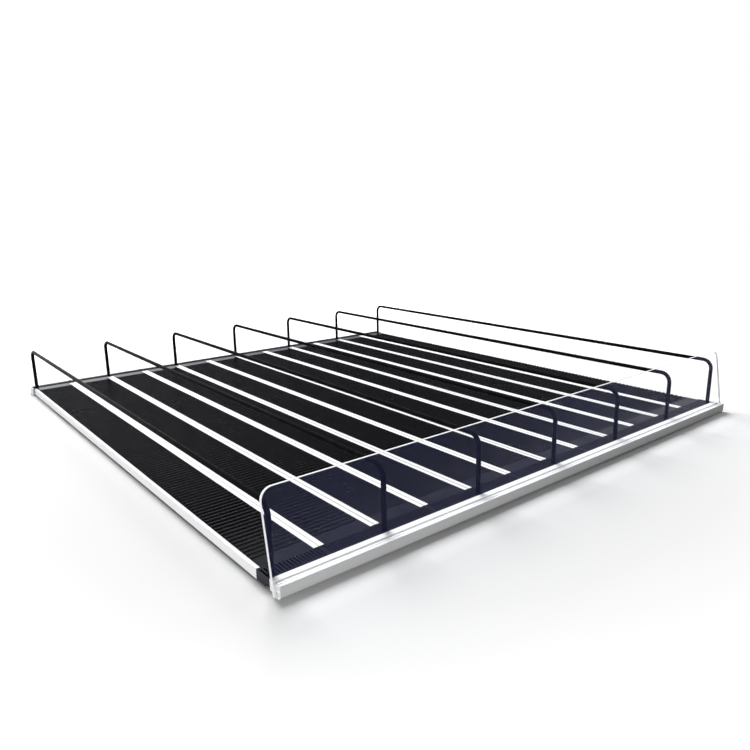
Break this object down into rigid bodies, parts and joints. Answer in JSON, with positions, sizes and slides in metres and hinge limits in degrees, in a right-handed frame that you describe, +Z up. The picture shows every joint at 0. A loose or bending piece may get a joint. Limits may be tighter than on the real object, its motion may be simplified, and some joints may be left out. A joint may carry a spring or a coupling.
{
  "type": "flow rack roller deck",
  "caption": "Shallow gravity-feed deck of thin roller lanes between slim rails, with toothed end combs, lift-out wire dividers and a clear leaning front stop.",
  "frame": {"origin": "middle of the deck's outline, on the surface that it rests on", "axes": "+X across the lanes to the right as seen from the front, +Y from the front stop to the rear, +Z up"},
  "size_m": [0.722, 0.7744, 0.0852],
  "materials": {
    "rail_aluminium": "satin white coating on extruded aluminium",
    "rear_aluminium": "satin mill finish",
    "roller_plastic": "smooth moulded, slightly glossy",
    "comb_plastic": "smooth moulded, slightly glossy",
    "wire_black": "satin black powder coat on steel wire",
    "clear_sheet": "clear polished plastic sheet",
    "cap_plastic": "satin white moulding",
    "grey_plastic": "satin grey moulding",
    "steel": "bright zinc"
  },
  "bodies": {
    "deck": {"front_profile": "rail_aluminium", "left_end_cap": "cap_plastic", "right_end_cap": "cap_plastic", "end_cap_screws": "steel", "rear_profile": "rear_aluminium", "rear_end_caps": "grey_plastic", "cross_rods": "steel", "left_side_rail": "rail_aluminium", "right_side_rail": "rail_aluminium", "lane_rail_01": "rail_aluminium", "lane_rail_02": "rail_aluminium", "lane_rail_03": "rail_aluminium", "lane_rail_04": "rail_aluminium", "lane_rail_05": "rail_aluminium", "lane_rail_06": "rail_aluminium", "lane_rail_07": "rail_aluminium", "lane_rail_08": "rail_aluminium", "lane_rail_09": "rail_aluminium", "lane_rail_10": "rail_aluminium", "lane_rail_11": "rail_aluminium", "rollers_01": "roller_plastic", "rollers_02": "roller_plastic", "rollers_03": "roller_plastic", "rollers_04": "roller_plastic", "rollers_05": "roller_plastic", "rollers_06": "roller_plastic", "rollers_07": "roller_plastic", "rollers_08": "roller_plastic", "rollers_09": "roller_plastic", "rollers_10": "roller_plastic", "rollers_11": "roller_plastic", "rollers_12": "roller_plastic", "front_comb_1": "comb_plastic", "front_comb_2": "comb_plastic", "front_comb_3": "comb_plastic", "front_comb_4": "comb_plastic", "front_comb_5": "comb_plastic", "front_comb_6": "comb_plastic", "front_comb_7": "comb_plastic", "rear_combs": "comb_plastic"},
    "divider_1": {"divider_1": "wire_black"},
    "divider_2": {"divider_2": "wire_black"},
    "divider_3": {"divider_3": "wire_black"},
    "divider_4": {"divider_4": "wire_black"},
    "divider_5": {"divider_5": "wire_black"},
    "divider_6": {"divider_6": "wire_black"},
    "divider_7": {"divider_7": "wire_black"},
    "roller_01": {"live_roller_01": "roller_plastic"},
    "roller_02": {"live_roller_02": "roller_plastic"},
    "roller_03": {"live_roller_03": "roller_plastic"},
    "roller_04": {"live_roller_04": "roller_plastic"},
    "roller_05": {"live_roller_05": "roller_plastic"},
    "roller_06": {"live_roller_06": "roller_plastic"},
    "roller_07": {"live_roller_07": "roller_plastic"},
    "roller_08": {"live_roller_08": "roller_plastic"},
    "roller_09": {"live_roller_09": "roller_plastic"},
    "roller_10": {"live_roller_10": "roller_plastic"},
    "roller_11": {"live_roller_11": "roller_plastic"},
    "roller_12": {"live_roller_12": "roller_plastic"},
    "stop": {"front_stop": "clear_sheet"}
  },
  "joints": [
    {"name": "stop_lift", "type": "slide", "parent": "deck", "child": "stop", "axis": [0, 0.165, 0.9863], "range_m": [0, 0.02]},
    {"name": "divider_1_lift", "type": "slide", "parent": "deck", "child": "divider_1", "axis": [0, 0, 1], "range_m": [0, 0.008]},
    {"name": "divider_2_lift", "type": "slide", "parent": "deck", "child": "divider_2", "axis": [0, 0, 1], "range_m": [0, 0.008]},
    {"name": "divider_3_lift", "type": "slide", "parent": "deck", "child": "divider_3", "axis": [0, 0, 1], "range_m": [0, 0.008]},
    {"name": "divider_4_lift", "type": "slide", "parent": "deck", "child": "divider_4", "axis": [0, 0, 1], "range_m": [0, 0.008]},
    {"name": "divider_5_lift", "type": "slide", "parent": "deck", "child": "divider_5", "axis": [0, 0, 1], "range_m": [0, 0.008]},
    {"name": "divider_6_lift", "type": "slide", "parent": "deck", "child": "divider_6", "axis": [0, 0, 1], "range_m": [0, 0.008]},
    {"name": "divider_7_lift", "type": "slide", "parent": "deck", "child": "divider_7", "axis": [0, 0, 1], "range_m": [0, 0.008]},
    {"name": "roller_01_spin", "type": "hinge", "parent": "deck", "child": "roller_01", "pos_m": [-0.33, -0.3076, 0.0087], "axis": [1, 0, 0], "continuous": true},
    {"name": "roller_02_spin", "type": "hinge", "parent": "deck", "child": "roller_02", "pos_m": [-0.27, -0.3076, 0.0087], "axis": [1, 0, 0], "continuous": true},
    {"name": "roller_03_spin", "type": "hinge", "parent": "deck", "child": "roller_03", "pos_m": [-0.21, -0.3076, 0.0087], "axis": [1, 0, 0], "continuous": true},
    {"name": "roller_04_spin", "type": "hinge", "parent": "deck", "child": "roller_04", "pos_m": [-0.15, -0.3076, 0.0087], "axis": [1, 0, 0], "continuous": true},
    {"name": "roller_05_spin", "type": "hinge", "parent": "deck", "child": "roller_05", "pos_m": [-0.09, -0.3076, 0.0087], "axis": [1, 0, 0], "continuous": true},
    {"name": "roller_06_spin", "type": "hinge", "parent": "deck", "child": "roller_06", "pos_m": [-0.03, -0.3076, 0.0087], "axis": [1, 0, 0], "continuous": true},
    {"name": "roller_07_spin", "type": "hinge", "parent": "deck", "child": "roller_07", "pos_m": [0.03, -0.3076, 0.0087], "axis": [1, 0, 0], "continuous": true},
    {"name": "roller_08_spin", "type": "hinge", "parent": "deck", "child": "roller_08", "pos_m": [0.09, -0.3076, 0.0087], "axis": [1, 0, 0], "continuous": true},
    {"name": "roller_09_spin", "type": "hinge", "parent": "deck", "child": "roller_09", "pos_m": [0.15, -0.3076, 0.0087], "axis": [1, 0, 0], "continuous": true},
    {"name": "roller_10_spin", "type": "hinge", "parent": "deck", "child": "roller_10", "pos_m": [0.21, -0.3076, 0.0087], "axis": [1, 0, 0], "continuous": true},
    {"name": "roller_11_spin", "type": "hinge", "parent": "deck", "child": "roller_11", "pos_m": [0.27, -0.3076, 0.0087], "axis": [1, 0, 0], "continuous": true},
    {"name": "roller_12_spin", "type": "hinge", "parent": "deck", "child": "roller_12", "pos_m": [0.33, -0.3076, 0.0087], "axis": [1, 0, 0], "continuous": true}
  ]
}
